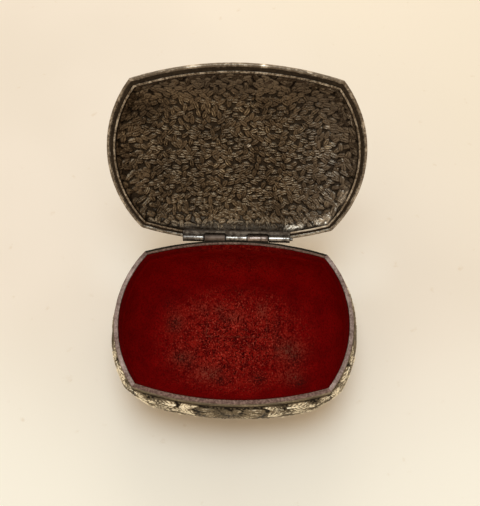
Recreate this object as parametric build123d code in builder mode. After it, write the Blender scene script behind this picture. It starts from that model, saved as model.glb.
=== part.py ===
"""Small cast-metal trinket box with a hinged lid and a velvet lining, sizes in millimetres.

Frame: origin on the ground under the middle of the foot, +Z up, +X to the right, the hinge at +Y.
The lid is drawn where it rests when open, leaning back on its hinge.
"""
from build123d import *
import math
import os

# Plan of the rim: two long arcs and two end arcs that meet at four blunt corners
rim_length = 74.8
rim_width = 53.6
long_radius = 100.0
end_radius = 36.0

# Cast walls, seen in section
body_height = 30.0
rim_wall = 1.4
rim_band = 1.1
neck_step = 0.3
shoulder_drop = 3.7
bulge = 2.0
bulge_drop = 10.0
belly_wall = 2.0
foot_inset = 8.0
foot_height = 1.8
foot_flare = 0.6
foot_wall = 1.4

# Base plate and lining
solder_gap = 0.05
card_thickness = 0.8
velvet = 1.0
lining_gap = 0.15
lining_drop = 0.5

# Hinge: two strips rolled round one pin
knuckle_length = 7.05
knuckle_gap = 0.12
knuckle_count = 5
strip = 0.6
pin_radius = 0.5
pin_clearance = 0.05
pin_end = 1.0
roll_seam = 0.15
leaf_seat = 0.3
leaf_reach = 3.1
lid_leaf_reach = 2.4
hinge_clearance = 0.2

# Lid
open_angle = 124.0
closed_gap = 0.1
lid_overhang = 2.6
bead_height = 1.8
bead_width = 1.0
channel_depth = 0.45
lip_width = 0.7
dome_rise = 6.4
dome_inset = 13.0
shoulder_rise = 3.9
shoulder_inset = 2.6
lid_wall = 1.2
lid_corner = 0.8
bead_round = 0.35
dome_steps = 5

card_top = foot_height + card_thickness
floor_top = card_top + velvet
shoulder_height = body_height - shoulder_drop
bulge_height = body_height - bulge_drop
inner_foot_inset = foot_inset + belly_wall
barrel_radius = pin_radius + pin_clearance + strip
hinge_y = rim_width / 2 - leaf_seat + barrel_radius
hinge_z = body_height + closed_gap - (barrel_radius - strip)
hinge_length = knuckle_count * knuckle_length
long_centre = long_radius - rim_width / 2
end_centre = rim_length / 2 - end_radius

swing = math.radians(open_angle)
lid_frame = Plane(
    origin=(0, hinge_y, hinge_z),
    x_dir=(1, 0, 0),
    z_dir=(0, math.sin(swing), math.cos(swing)),
)
os.makedirs("parts", exist_ok=True)


def corner(offset):
    """Corner of the plan at +X, +Y, where the two arcs grown by offset cross."""
    long_arc = long_radius + offset
    end_arc = end_radius + offset
    spacing = math.hypot(end_centre, long_centre)
    along = (long_arc**2 - end_arc**2 + spacing**2) / (2 * spacing)
    across = math.sqrt(long_arc**2 - along**2)
    x = (along * end_centre + across * long_centre) / spacing
    y = -long_centre + (along * long_centre - across * end_centre) / spacing
    return x, y


def plan(height, offset):
    """Plan of the box at a height, its four arcs grown by offset from the rim's outer line."""
    x, y = corner(offset)
    with BuildSketch(Plane.XY.offset(height)) as sketch:
        with BuildLine():
            ThreePointArc((-x, -y), (0, -rim_width / 2 - offset), (x, -y))
            ThreePointArc((x, -y), (rim_length / 2 + offset, 0), (x, y))
            ThreePointArc((x, y), (0, rim_width / 2 + offset), (-x, y))
            ThreePointArc((-x, y), (-rim_length / 2 - offset, 0), (-x, -y))
        make_face()
    return sketch.sketch


def mitre(side_x, side_y):
    """Upright plane of one soldered corner, facing the long wall."""
    outer = corner(0)
    inner = corner(-inner_foot_inset)
    return Plane(
        origin=(side_x * outer[0], side_y * outer[1], 0),
        z_dir=(-side_x * (outer[1] - inner[1]), side_y * (outer[0] - inner[0]), 0),
    )


def belly_inside():
    """Inner line of the wall, from the foot up to the shoulder: offset, height."""
    return Spline(
        (-inner_foot_inset, foot_height),
        (bulge - belly_wall, bulge_height),
        (-rim_wall, shoulder_height),
        tangents=((0.8, 1.0), (-0.5, 1.0)),
    )


def wall_section(section_plane):
    """Wall in section: x outwards from the rim's outer line, y up."""
    with BuildSketch(section_plane) as section:
        with BuildLine():
            Spline(
                (0, shoulder_height),
                (bulge, bulge_height),
                (-foot_inset, foot_height),
                tangents=((1.0, -0.75), (-1.0, -0.8)),
            )
            Polyline(
                (-foot_inset, foot_height),
                (-foot_inset + foot_flare, foot_height / 2),
                (-foot_inset + foot_flare, 0),
                (-foot_inset + foot_flare - foot_wall, 0),
                (-foot_inset + foot_flare - foot_wall, foot_height),
                (-inner_foot_inset, foot_height),
            )
            belly_inside()
            Polyline(
                (-rim_wall, shoulder_height),
                (-rim_wall, body_height),
                (0, body_height),
                (0, body_height - rim_band),
                (-neck_step, body_height - rim_band - neck_step),
                (-neck_step, shoulder_height + neck_step),
                (0, shoulder_height),
            )
        make_face()
    return section.sketch


def wall(centre, radius, bearing, half_span):
    """Revolve the wall section along one arc of the plan, centred on a compass bearing."""
    start = math.radians(bearing - half_span)
    outward = Vector(math.cos(start), math.sin(start), 0)
    section_plane = Plane(
        origin=Vector(*centre) + outward * radius,
        x_dir=outward,
        z_dir=outward.cross(Vector(0, 0, 1)),
    )
    revolve(wall_section(section_plane), Axis(centre, (0, 0, 1)), revolution_arc=2 * half_span)


def long_wall(side):
    """Front (-1) or back (+1) wall, cut at its two mitres."""
    spare = 4.0
    half_span = math.degrees(math.asin(corner(0)[0] / long_radius)) + spare
    wall((0, -side * long_centre, 0), long_radius, side * 90, half_span)
    split(bisect_by=mitre(-1, side), keep=Keep.TOP)
    split(bisect_by=mitre(1, side), keep=Keep.TOP)


def end_wall(side):
    """Left (-1) or right (+1) wall, cut at its two mitres."""
    spare = 8.0
    half_span = math.degrees(math.asin(corner(0)[1] / end_radius)) + spare
    wall((side * end_centre, 0, 0), end_radius, 90 - side * 90, half_span)
    split(bisect_by=mitre(side, -1), keep=Keep.BOTTOM)
    split(bisect_by=mitre(side, 1), keep=Keep.BOTTOM)


def knuckle_start(index):
    """Left end of a knuckle, counted from 0 at the left."""
    return -hinge_length / 2 + index * knuckle_length


def across_hinge(x):
    """Plane square to the pin at x, with its own x towards the back and y up."""
    return Plane(origin=(x, hinge_y, hinge_z), x_dir=(0, 1, 0), z_dir=(1, 0, 0))


# Walls: four castings, mitred and soldered at the corners
with BuildPart() as front_panel:
    long_wall(-1)

with BuildPart() as back_panel:
    long_wall(1)
    # Flat land for the fixed leaf of the hinge, and the room its barrel needs
    land_height = leaf_reach - barrel_radius
    land_depth = rim_wall - leaf_seat - solder_gap
    with BuildSketch(Plane.XY.offset(hinge_z - leaf_reach)):
        with Locations((0, hinge_y - barrel_radius)):
            Rectangle((knuckle_count - 2) * knuckle_length, land_depth, align=(Align.CENTER, Align.MAX))
    extrude(amount=land_height)
    with BuildSketch(Plane.XY.offset(hinge_z - leaf_reach - solder_gap)):
        with Locations((0, hinge_y - barrel_radius)):
            Rectangle(
                (knuckle_count - 2) * knuckle_length + 2 * knuckle_gap,
                2 * barrel_radius,
                align=(Align.CENTER, Align.MIN),
            )
    extrude(amount=body_height, mode=Mode.SUBTRACT)
    with BuildSketch(across_hinge(-hinge_length / 2)):
        Circle(barrel_radius + hinge_clearance)
    extrude(amount=hinge_length, mode=Mode.SUBTRACT)

with BuildPart() as left_panel:
    end_wall(-1)

with BuildPart() as right_panel:
    end_wall(1)

# Base plate, let into the foot from below and flush with it
with BuildPart() as base_plate:
    extrude(plan(0, foot_flare - foot_inset - foot_wall - solder_gap), amount=foot_height)

# Lining: velvet on a card floor, and a velvet strip that follows the inside of the castings
inside_line = belly_inside()
inside_steps = 5
inside_points = [inside_line @ (step / (inside_steps - 1)) for step in range(inside_steps)]


def lining_body(gap):
    """Solid that fills the box up to the top of the velvet, a gap away from the castings."""
    loft([plan(point.Y, point.X - gap) for point in inside_points])
    extrude(plan(shoulder_height, -rim_wall - gap), amount=shoulder_drop - lining_drop)


with BuildPart() as floor_card:
    lining_body(lining_gap)
    split(bisect_by=Plane.XY.offset(card_top), keep=Keep.BOTTOM)

with BuildPart() as floor_lining:
    lining_body(lining_gap)
    split(bisect_by=Plane.XY.offset(card_top), keep=Keep.TOP)
    split(bisect_by=Plane.XY.offset(floor_top), keep=Keep.BOTTOM)

with BuildPart() as lining_room:
    lining_body(lining_gap + velvet)

with BuildPart() as wall_lining:
    lining_body(lining_gap)
    add(lining_room.part, mode=Mode.SUBTRACT)
    split(bisect_by=Plane.XY.offset(floor_top), keep=Keep.TOP)

# Hinge pin, with one rounded end showing on the right
with BuildPart() as hinge_pin:
    with BuildSketch(across_hinge(-hinge_length / 2)):
        Circle(pin_radius)
    extrude(amount=hinge_length + pin_end)
    fillet(hinge_pin.edges().sort_by(Axis.X)[-1], pin_radius / 2)


def rolled_knuckle(plane, leaf_turn):
    """Strip rolled round the pin, one knuckle long; the leaf leaves the roll at a turn from level."""
    with BuildSketch(plane) as roll:
        Circle(barrel_radius)
        with Locations(Rotation(0, 0, leaf_turn)):
            with Locations((0, barrel_radius)):
                Rectangle(barrel_radius + hinge_clearance, strip, align=(Align.MAX, Align.MAX))
            with Locations((0, barrel_radius - strip)):
                Rectangle(
                    barrel_radius + hinge_clearance,
                    roll_seam,
                    align=(Align.MAX, Align.MAX),
                    mode=Mode.SUBTRACT,
                )
        Circle(pin_radius + pin_clearance, mode=Mode.SUBTRACT)
    extrude(roll.sketch, amount=knuckle_length - knuckle_gap)


def leaf_strip(plane, reach, leaf_turn, length):
    """Flat part of a leaf beyond the roll."""
    with BuildSketch(plane) as leaf:
        with Locations(Rotation(0, 0, leaf_turn)):
            with Locations((-barrel_radius - hinge_clearance, barrel_radius)):
                Rectangle(reach - barrel_radius - hinge_clearance, strip, align=(Align.MAX, Align.MAX))
    extrude(leaf.sketch, amount=length)


# Fixed leaf: two knuckles, soldered upright on the back wall
fixed_knuckles = range(1, knuckle_count, 2)
fixed_length = (knuckle_count - 2) * knuckle_length - knuckle_gap
with BuildPart() as body_hinge_leaf:
    leaf_strip(across_hinge(knuckle_start(1) + knuckle_gap / 2), leaf_reach, 90, fixed_length)
    for index in fixed_knuckles:
        rolled_knuckle(across_hinge(knuckle_start(index) + knuckle_gap / 2), 90)


def across_lid(x):
    """Plane square to the pin at x, with its own x towards the lid's back edge and y out of the lid."""
    return Plane(origin=(x, hinge_y, hinge_z), x_dir=lid_frame.y_dir, z_dir=(1, 0, 0))


# Moving leaf: three knuckles, soldered under the lid's edge
with BuildPart() as lid_hinge_leaf:
    leaf_strip(
        across_lid(knuckle_start(0) + knuckle_gap / 2),
        lid_leaf_reach,
        0,
        hinge_length - knuckle_gap,
    )
    for index in range(0, knuckle_count, 2):
        rolled_knuckle(across_lid(knuckle_start(index) + knuckle_gap / 2), 0)

# Lid: one casting, a low dome over a beaded edge
bead_inside = lid_overhang - bead_width
bead_top = closed_gap + bead_height


def lid_plan(height, offset):
    """Plan of the lid, its corners rounded, on its own level at a height above the closed rim."""
    with BuildSketch(lid_frame.offset(body_height + height - hinge_z)) as sketch:
        with Locations((0, -hinge_y)):
            add(plan(0, offset))
        fillet(sketch.vertices(), lid_corner)
    return sketch.sketch


def dome(foot, foot_height, wall_thickness):
    """Loft the plan up a curved profile, from a foot to the flat crown."""
    profile = Spline(
        (foot, foot_height),
        (-shoulder_inset - wall_thickness, bead_top + shoulder_rise - wall_thickness),
        (-dome_inset, bead_top + dome_rise - wall_thickness),
        tangents=((-0.25, 1.0), (-1.0, 0.0)),
    )
    points = [profile @ (step / (dome_steps - 1)) for step in range(dome_steps)]
    loft([lid_plan(point.Y, point.X) for point in points])


with BuildPart() as lid_hollow:
    dome(-lip_width, closed_gap, lid_wall)

with BuildPart() as lid:
    extrude(lid_plan(closed_gap, lid_overhang), amount=bead_height)
    fillet(lid.edges(), bead_round)
    dome(bead_inside, bead_top, 0)
    # Channel between the bead and the lip that rests on the rim
    extrude(lid_plan(closed_gap, bead_inside), amount=channel_depth, mode=Mode.SUBTRACT)
    extrude(lid_plan(closed_gap, 0), amount=channel_depth)
    add(lid_hollow.part, mode=Mode.SUBTRACT)
    # Seat of the moving leaf, and the groove over the hinge's barrel
    with BuildSketch(across_lid(-hinge_length / 2)):
        with Locations((0, barrel_radius)):
            Rectangle(lid_leaf_reach + solder_gap, 2 * barrel_radius, align=(Align.MAX, Align.MAX))
        Circle(barrel_radius + hinge_clearance)
    extrude(amount=hinge_length, mode=Mode.SUBTRACT)

pieces = {
    "front_panel": front_panel,
    "back_panel": back_panel,
    "left_panel": left_panel,
    "right_panel": right_panel,
    "base_plate": base_plate,
    "floor_card": floor_card,
    "floor_lining": floor_lining,
    "wall_lining": wall_lining,
    "body_hinge_leaf": body_hinge_leaf,
    "hinge_pin": hinge_pin,
    "lid_hinge_leaf": lid_hinge_leaf,
    "lid": lid,
}
for name, piece in pieces.items():
    piece.part.label = name
    export_step(piece.part, f"parts/{name}.step")
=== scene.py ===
import math

import bmesh
import bpy
import numpy as np
from mathutils import Matrix, Vector


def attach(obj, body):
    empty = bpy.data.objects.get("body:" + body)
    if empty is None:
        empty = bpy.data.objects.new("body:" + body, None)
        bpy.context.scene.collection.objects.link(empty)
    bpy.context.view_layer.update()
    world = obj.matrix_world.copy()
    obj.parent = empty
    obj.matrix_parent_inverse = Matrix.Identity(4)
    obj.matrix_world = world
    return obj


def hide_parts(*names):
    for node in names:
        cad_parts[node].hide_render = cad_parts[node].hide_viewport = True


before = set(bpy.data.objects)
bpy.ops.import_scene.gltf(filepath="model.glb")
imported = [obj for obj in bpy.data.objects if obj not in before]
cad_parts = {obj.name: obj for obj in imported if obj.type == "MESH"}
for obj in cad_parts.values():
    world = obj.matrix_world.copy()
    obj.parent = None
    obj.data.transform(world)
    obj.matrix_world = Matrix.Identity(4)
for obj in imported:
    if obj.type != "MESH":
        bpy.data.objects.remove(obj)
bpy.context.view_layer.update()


# Table, light and camera
# A painted cream table under broad soft light that comes from above and behind, so that the
# shadow falls in front of the box. The camera looks down into the open box from in front.
MM = 0.001


class Value:
    """A shader value or colour; Python arithmetic on it adds Math nodes."""

    def __init__(self, nodes, socket):
        self.nodes, self.socket = nodes, socket

    def maths(self, operation, first, second):
        return self.nodes.node("Math", {"operation": operation}, {0: first, 1: second})

    def __add__(self, other):
        return self.maths("ADD", self, other)

    def __mul__(self, other):
        return self.maths("MULTIPLY", self, other)

    def __sub__(self, other):
        return self.maths("SUBTRACT", self, other)

    def __rsub__(self, other):
        return self.maths("SUBTRACT", other, self)

    def __pow__(self, other):
        return self.maths("POWER", self, other)

    def most(self, other):
        return self.maths("MAXIMUM", self, other)

    __radd__, __rmul__ = __add__, __mul__

    def pingpong(self, reach):
        """Up to reach and back again; with a long reach, the value without its sign."""
        return self.maths("PINGPONG", self, reach)

    def band(self, low, high):
        """0 below low, 1 above high, smooth between them."""
        sockets = {"Value": self, "From Min": low, "From Max": high}
        return self.nodes.node("MapRange", {"interpolation_type": "SMOOTHSTEP"}, sockets)


class Nodes:
    """A node tree that gets each of its nodes from one method."""

    def __init__(self, tree):
        self.tree = tree

    def node(self, kind, settings, sockets, out=0):
        """A node of this kind, with its settings and its sockets' values or links."""
        made = self.tree.nodes.new("ShaderNode" + kind)
        for key, value in settings.items():
            setattr(made, key, value)
        for key, value in sockets.items():
            if isinstance(value, Value):
                self.tree.links.new(value.socket, made.inputs[key])
            else:
                made.inputs[key].default_value = value
        return Value(self, made.outputs[out])

    def end_in(self, output, first, second, mask):
        """Mix two shaders by a mask and show the result."""
        shown = self.node("MixShader", {}, {0: mask, 1: first, 2: second})
        self.tree.links.new(shown.socket, self.tree.nodes[output].inputs["Surface"])


class Finish(Nodes):
    """A procedural material with its constants set on the shader itself."""

    def __init__(self, name, constants):
        self.material = bpy.data.materials.new(name)
        self.material.use_nodes = True
        super().__init__(self.material.node_tree)
        self.shader = self.tree.nodes["Principled BSDF"]
        for socket, value in constants.items():
            self.shader.inputs[socket].default_value = value

    def place(self):
        return self.node("TexCoord", {}, {}, out=3)

    def along(self, axis):
        """How far along axis 0, 1 or 2 the surface lies, in metres."""
        return self.node("SeparateXYZ", {}, {0: self.place()}, out=axis)

    def noise(self, size, detail=3.0, rough=0.5, stretch=(1, 1, 1)):
        """Cloudy value from 0 to 1 whose features are about size millimetres."""
        scale = Vector(stretch) / (size * MM)
        at = self.node("VectorMath", {"operation": "MULTIPLY"}, {0: self.place(), 1: scale})
        sockets = {"Vector": at, "Scale": 1.0, "Detail": detail, "Roughness": rough}
        return self.node("TexNoise", {}, sockets)

    def stored(self, name):
        """A value that the mesh holds at each of its points."""
        return self.node("Attribute", {"attribute_name": name}, {}, out=2)

    def mix(self, mask, first, second):
        return self.node("Mix", {"data_type": "RGBA"}, {0: mask, 6: first, 7: second}, out=2)

    def layered(self, colour, *layers):
        """A colour with other colours laid over it in turn, each through its mask."""
        for mask, over in layers:
            colour = self.mix(mask, colour, over)
        return colour

    def bump(self, height, depth):
        """Bump from a height of 0 to 1 that stands for depth millimetres."""
        return self.node("Bump", {}, {"Height": height, "Distance": depth * MM})

    def feed(self, sockets):
        for key, value in sockets.items():
            self.tree.links.new(value.socket, self.shader.inputs[key])


def paint(red, green, blue):
    """A colour given as 0 to 255, as it looks, turned into light."""
    share = np.array([red, green, blue]) / 255
    light = np.where(share <= 0.04045, share / 12.92, ((share + 0.055) / 1.055) ** 2.4)
    return (*light.tolist(), 1.0)


def added(name, data):
    """A new object in the scene."""
    thing = bpy.data.objects.new(name, data)
    bpy.context.collection.objects.link(thing)
    return thing


table_half, table_drop = 3.0, 0.00003
table_mesh = bpy.data.meshes.new("table")
table_corners = [(-1, -1), (1, -1), (1, 1), (-1, 1)]
table_mesh.from_pydata(
    [(x * table_half, y * table_half, -table_drop) for x, y in table_corners], [], [(0, 1, 2, 3)]
)
added("table", table_mesh)
table_paint = Finish("table_paint", {"Roughness": 0.55, "Specular IOR Level": 0.2})
table_tone = table_paint.noise(90, detail=2.0).band(0.3, 0.7)
table_speck = table_paint.noise(5, detail=4.0).band(0.66, 0.8) * 0.35
table_across, table_along = table_paint.along(0), table_paint.along(1)
# Painted light: the table is painted lighter towards the front and its near corners, which also
# lightens the shadow before the box.
table_near_painted_light = (table_across.pingpong(10) * 0.35 - table_along).band(0.0, 0.085)
# Painted light: towards the back right the table takes a tone of its own for the light that falls
# there.
table_far_painted_light = (table_along + table_across).band(0.08, 0.22)
# Painted light: the table is painted paler behind the box, under the lid, where the lid shades it.
table_painted_light_under_lid = (0.02 - (table_along - 0.034).pingpong(1.0)).band(0.0, 0.018)
table_painted_light_under_lid = table_painted_light_under_lid * (0.062 - table_across.pingpong(10)).band(0.0, 0.03)
table_colour = table_paint.layered(
    table_paint.mix(table_tone, paint(237, 227, 213), paint(244, 234, 221)),
    (table_near_painted_light, paint(255, 252, 241)),
    (table_far_painted_light, paint(243, 233, 216)),
    (table_painted_light_under_lid, paint(255, 250, 240)),
    (table_speck, paint(214, 192, 160)),
)
table_paint.feed({"Base Color": table_colour})
table_mesh.materials.append(table_paint.material)

# Far from the box, the camera sees the table fade into the backdrop
backdrop_colour = paint(246, 233, 212)
far_off = ((table_across * table_across + table_along * table_along) ** 0.5).band(0.3, 0.9)
seen_direct = table_paint.node("LightPath", {}, {})
far_haze = table_paint.node("Emission", {}, {"Color": backdrop_colour})
table_shader = Value(table_paint, table_paint.shader.outputs[0])
table_paint.end_in("Material Output", table_shader, far_haze, far_off * seen_direct)

# The room gives warm light; camera and gloss see the backdrop in its place
room_light, room_colour = 0.61, (1.0, 0.80, 0.58, 1.0)
world = bpy.data.worlds.new("room")
bpy.context.scene.world = world
world.use_nodes = True
room = Nodes(world.node_tree)
glow = room.tree.nodes["Background"]
glow.inputs["Color"].default_value = room_colour
glow.inputs["Strength"].default_value = room_light
backdrop = room.node("Background", {}, {"Color": backdrop_colour})
seen = room.node("LightPath", {}, {}) + room.node("LightPath", {}, {}, out="Is Glossy Ray")
room.end_in("World Output", Value(room, glow.outputs[0]), backdrop, seen)


def lamp(name, at, aim, size, power, colour):
    light = bpy.data.lights.new(name, "AREA")
    light.shape, light.size = "DISK", size
    light.energy, light.color = power, colour
    holder = added(name, light)
    holder.location = at
    holder.rotation_euler = (Vector(aim) - Vector(at)).to_track_quat("-Z", "Y").to_euler()


lamp("window", (-0.01, 0.11, 0.82), (0, 0.0, 0.02), 0.47, 3.1, (0.70, 0.87, 1.0))
lamp("far_window", (0, 0.45, 0.30), (0, 0.02, 0), 0.35, 0.5, (1.0, 0.90, 0.76))

# The camera's turn and place, fitted to the outlines of lid, rim and hinge
lens_mm, sensor_mm = 45.53, 36.0
turn_x, turn_y, turn_z = -24.44, -0.83, -1.59
rim_height, from_rim = 30.0, (2.0, 20.2, 199.1)
camera_data = bpy.data.cameras.new("camera")
camera_data.lens, camera_data.sensor_width = lens_mm, sensor_mm
camera_data.clip_start, camera_data.clip_end = 0.01, 20.0
camera = added("camera", camera_data)
tilt = (
    Matrix.Rotation(math.radians(turn_x), 3, "X")
    @ Matrix.Rotation(math.radians(turn_y), 3, "Y")
    @ Matrix.Rotation(math.radians(turn_z), 3, "Z")
).transposed()
stand = tilt @ Vector(from_rim) + Vector((0, 0, rim_height))
camera.matrix_world = Matrix.Translation(stand * MM) @ tilt.to_4x4()
bpy.context.scene.camera = camera
bpy.context.scene.view_settings.view_transform = "Standard"


# Walls
# Four curved castings in a soft white metal, tarnished dark with painted shade in the low ground,
# and rubbed bright on the high points, which are painted lighter still as highlights.
# Each is cast with foliage in relief, mitred at its ends and soldered to its neighbours.
long_radius, end_radius = 100.0, 36.0
long_centre, end_centre = 73.2, 1.4
mitre_inset = 10.0
long_half, end_half, belly_half = 29.3, 22.6, 14.2


def corner(offset):
    """Corner of the plan at +X, +Y with its arcs grown by offset."""
    long_arc, end_arc = long_radius + offset, end_radius + offset
    spacing = math.hypot(end_centre, long_centre)
    along = (long_arc**2 - end_arc**2 + spacing**2) / (2 * spacing)
    across = math.sqrt(long_arc**2 - along**2)
    x = (along * end_centre + across * long_centre) / spacing
    return x, -long_centre + (along * long_centre - across * end_centre) / spacing


def curve(points, first, last, count):
    """Smooth line through points, with its end directions, as count points."""
    p = np.array(points, float)
    knots = np.concatenate([[0], np.cumsum(np.linalg.norm(np.diff(p, axis=0), axis=1))])
    gap = np.diff(knots)
    slope = np.diff(p, axis=0) / gap[:, None]
    size = len(p)
    system, right = np.eye(size), np.zeros((size, 2))
    right[0] = np.array(first) / np.linalg.norm(first)
    right[-1] = np.array(last) / np.linalg.norm(last)
    for i in range(1, size - 1):
        system[i, i - 1 : i + 2] = 1 / gap[i - 1], 2 / gap[i - 1] + 2 / gap[i], 1 / gap[i]
        right[i] = 3 * (slope[i - 1] / gap[i - 1] + slope[i] / gap[i])
    speed = np.linalg.solve(system, right)
    at = np.linspace(0, knots[-1], count)
    i = np.clip(np.searchsorted(knots, at, side="right") - 1, 0, size - 2)
    u, h = ((at - knots[i]) / gap[i])[:, None], gap[i][:, None]
    return (
        (2 * u**3 - 3 * u**2 + 1) * p[i]
        + (u**3 - 2 * u**2 + u) * h * speed[i]
        + (3 * u**2 - 2 * u**3) * p[i + 1]
        + (u**3 - u**2) * h * speed[i + 1]
    )


def divided(points, step):
    """A polyline with each run divided into steps."""
    made = [np.array(points[0], float)]
    for start, end in zip(points[:-1], points[1:]):
        start, end = np.array(start, float), np.array(end, float)
        count = max(1, round(np.linalg.norm(end - start) / step))
        made += [start + (end - start) * k / count for k in range(1, count + 1)]
    return np.array(made)


def lumps(shape, seed, passes):
    """Smooth random field from -1 to 1 on a grid, the same each run."""
    field = np.random.default_rng(seed).standard_normal(shape)
    for _ in range(passes):
        for axis in range(len(shape)):
            field = (
                np.roll(field, 1, axis) + 2 * field + np.roll(field, -1, axis)
            ) / 4
    return field / np.abs(field).max()


class Relief:
    """Height map in millimetres, drawn with leaves, stems and beads and read back anywhere."""

    step = 0.08

    def __init__(self, half_x, half_y):
        self.half_x, self.half_y = half_x, half_y
        self.x = np.arange(-half_x, half_x + self.step, self.step)
        self.y = np.arange(-half_y, half_y + self.step, self.step)
        self.height = np.zeros((len(self.y), len(self.x)))

    def window(self, x, y, reach):
        i0, i1 = np.searchsorted(self.x, (x - reach, x + reach))
        j0, j1 = np.searchsorted(self.y, (y - reach, y + reach))
        across, up = np.meshgrid(self.x[i0:i1] - x, self.y[j0:j1] - y)
        return slice(j0, j1), slice(i0, i1), across, up

    def raise_to(self, rows, columns, height):
        self.height[rows, columns] = np.maximum(self.height[rows, columns], height)

    def leaf(
        self, x, y, length, width, turn, height,
        crease=0.62, crease_width=0.15, swell=-0.5, arch=0.6, on_top=False,
    ):
        """A pointed, creased leaf with its foot at x, y; on_top, it cuts into what it covers."""
        rows, columns, across, up = self.window(x, y, length + 0.2)
        if across.size == 0:
            return
        u = (across * math.cos(turn) + up * math.sin(turn)) / length
        v = up * math.cos(turn) - across * math.sin(turn)
        inside = np.clip(u * (1 - u), 0, None)
        half = width / 2 * np.clip(2.15 * inside**0.55 * (1 + swell * (u - 0.5)), 1e-6, None)
        crown = np.clip(1 - (v / half) ** 2, 0, None) ** arch * (4 * inside) ** (arch - 0.45)
        groove = 1 - crease * np.exp(-((v / (crease_width * width)) ** 2))
        made = height * crown * groove
        if on_top:
            self.height[rows, columns] = np.where(made > 0, made, self.height[rows, columns])
        else:
            self.raise_to(rows, columns, made)

    def bead(self, x, y, radius, height):
        rows, columns, across, up = self.window(x, y, radius + 0.1)
        if across.size:
            reach = (across**2 + up**2) / radius**2
            self.raise_to(rows, columns, height * np.sqrt(np.clip(1 - reach, 0, None)))

    def stem(self, points, width, height):
        """A round stem along points, tapering to its far end."""
        for k, (x, y) in enumerate(points):
            taper = 1 - 0.6 * k / len(points)
            self.bead(x, y, width * taper / 2, height * (0.55 + 0.45 * taper))

    def frond(self, x, y, length, turn, bend, height, leaflets=5):
        """A leaf of small lobes in pairs along a bending middle rib."""
        points = []
        for k in range(leaflets * 4 + 1):
            points.append((x, y))
            x += math.cos(turn) * length / (leaflets * 4)
            y += math.sin(turn) * length / (leaflets * 4)
            turn += bend / (leaflets * 4)
        for k in range(leaflets):
            px, py = points[k * 4 + 1]
            nx, ny = points[k * 4 + 3]
            ahead = math.atan2(ny - py, nx - px)
            lobe = length * (0.48 - 0.055 * k)
            for side in (-1, 1):
                self.leaf(px, py, lobe, lobe * 0.5, ahead + side * 0.75, height * 0.9)
        self.leaf(*points[-7], length * 0.36, length * 0.2, turn, height)
        self.stem(points[:-3], length * 0.09, height)

    def scroll(self, x, y, reach, turn, last_turn, width, height, leaves=6):
        """A stem that coils in to a bead, with leaves along the outside of its first turn."""
        points = spiral(x, y, reach, 0.9, turn, last_turn)
        for k in range(leaves):
            (px, py), (nx, ny) = points[k * 6 + 1], points[k * 6 + 2]
            lean = Vector((nx - px, ny - py)).normalized() + Vector((px - x, py - y)).normalized()
            self.leaf(px, py, 3.3 - 0.2 * k, 1.5, math.atan2(lean.y, lean.x), height * 0.85)
        self.stem(points, width, height * 0.9)
        self.bead(x, y, 1.2, height)

    def is_bare(self, x, y, reach):
        rows, columns, across, up = self.window(x, y, reach)
        return across.size > 0 and self.height[rows, columns].max() < 0.06

    def flower(self, x, y, size, turn, height):
        for k in range(6):
            petal = turn + k * math.tau / 6
            self.leaf(
                x + 0.4 * math.cos(petal), y + 0.4 * math.sin(petal),
                size * 0.9, size * 0.66, petal, height * 0.8, 0.6, 0.2, 0.8, 0.8,
            )
        self.bead(x, y, size * 0.28, height)

    def sprig(self, x, y, size, turn, height):
        x, y = x - size * 0.8 * math.cos(turn), y - size * 0.8 * math.sin(turn)
        for k in (-1, 0, 1):
            length = size * (1.7 - 0.3 * abs(k))
            self.leaf(x, y, length, size * 0.66, turn + k * 0.7, height * 0.8)

    def leaflet(self, x, y, size, turn, height):
        x, y = x - size * 0.8 * math.cos(turn), y - size * 0.8 * math.sin(turn)
        self.leaf(x, y, size * 1.8, size, turn, height * 0.6)

    def fill(self, seed, height, tries=1500, stipples=3600):
        """Flowers, sprigs and leaflets, mirrored, on bare ground; then a stippled ground."""
        draw = np.random.default_rng(seed)
        far = (self.half_x, self.half_y)
        for size, plant in (
            (2.3, self.flower), (1.5, self.sprig), (1.0, self.leaflet), (0.75, self.leaflet)
        ):
            for x, y in draw.uniform((0, -self.half_y), far, (tries, 2)):
                turn = draw.uniform(0, math.tau)
                if self.is_bare(x, y, size):
                    plant(-x, y, size, math.pi - turn, height)
                    plant(x, y, size, turn, height)
        for x, y in draw.uniform((-self.half_x, -self.half_y), far, (stipples, 2)):
            self.bead(x, y, 0.36, 0.15)

    def at(self, x, y):
        i = np.clip((x + self.half_x) / self.step, 0, len(self.x) - 1.001)
        j = np.clip((y + self.half_y) / self.step, 0, len(self.y) - 1.001)
        i0, j0 = i.astype(int), j.astype(int)
        fi, fj = i - i0, j - j0
        low = self.height[j0, i0] * (1 - fi) + self.height[j0, i0 + 1] * fi
        high = self.height[j0 + 1, i0] * (1 - fi) + self.height[j0 + 1, i0 + 1] * fi
        return low * (1 - fj) + high * fj


def spiral(x, y, radius, last_radius, turn, last_turn, count=60):
    share = np.linspace(0, 1, count)
    reach = radius + (last_radius - radius) * share
    angle = turn + (last_turn - turn) * share
    return list(zip(x + reach * np.cos(angle), y + reach * np.sin(angle)))


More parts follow.
